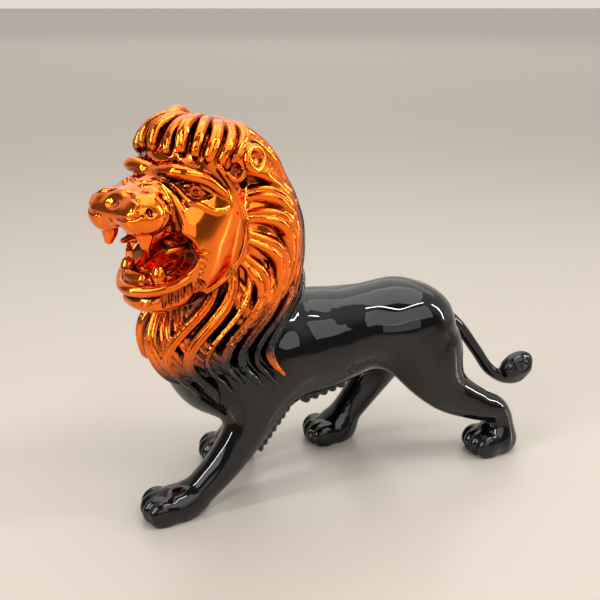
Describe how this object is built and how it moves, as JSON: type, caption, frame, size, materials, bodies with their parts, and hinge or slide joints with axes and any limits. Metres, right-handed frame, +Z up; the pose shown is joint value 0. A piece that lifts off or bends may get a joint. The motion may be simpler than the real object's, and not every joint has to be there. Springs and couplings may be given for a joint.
{
  "type": "lion figurine",
  "caption": "Striding lion figurine in black glazed ceramic with a copper-orange plated head and mane, roaring, its head turned to its left.",
  "frame": {"origin": "centre of the bounding box's footprint, on the plane the feet stand on", "axes": "+Y from the nose to the tail, along the body; +X to the lion's left side; +Z up"},
  "size_m": [0.1294, 0.3728, 0.2893],
  "materials": {
    "black_glaze": "high gloss"
  },
  "bodies": {
    "root": {"lion": "black_glaze"}
  },
  "joints": []
}
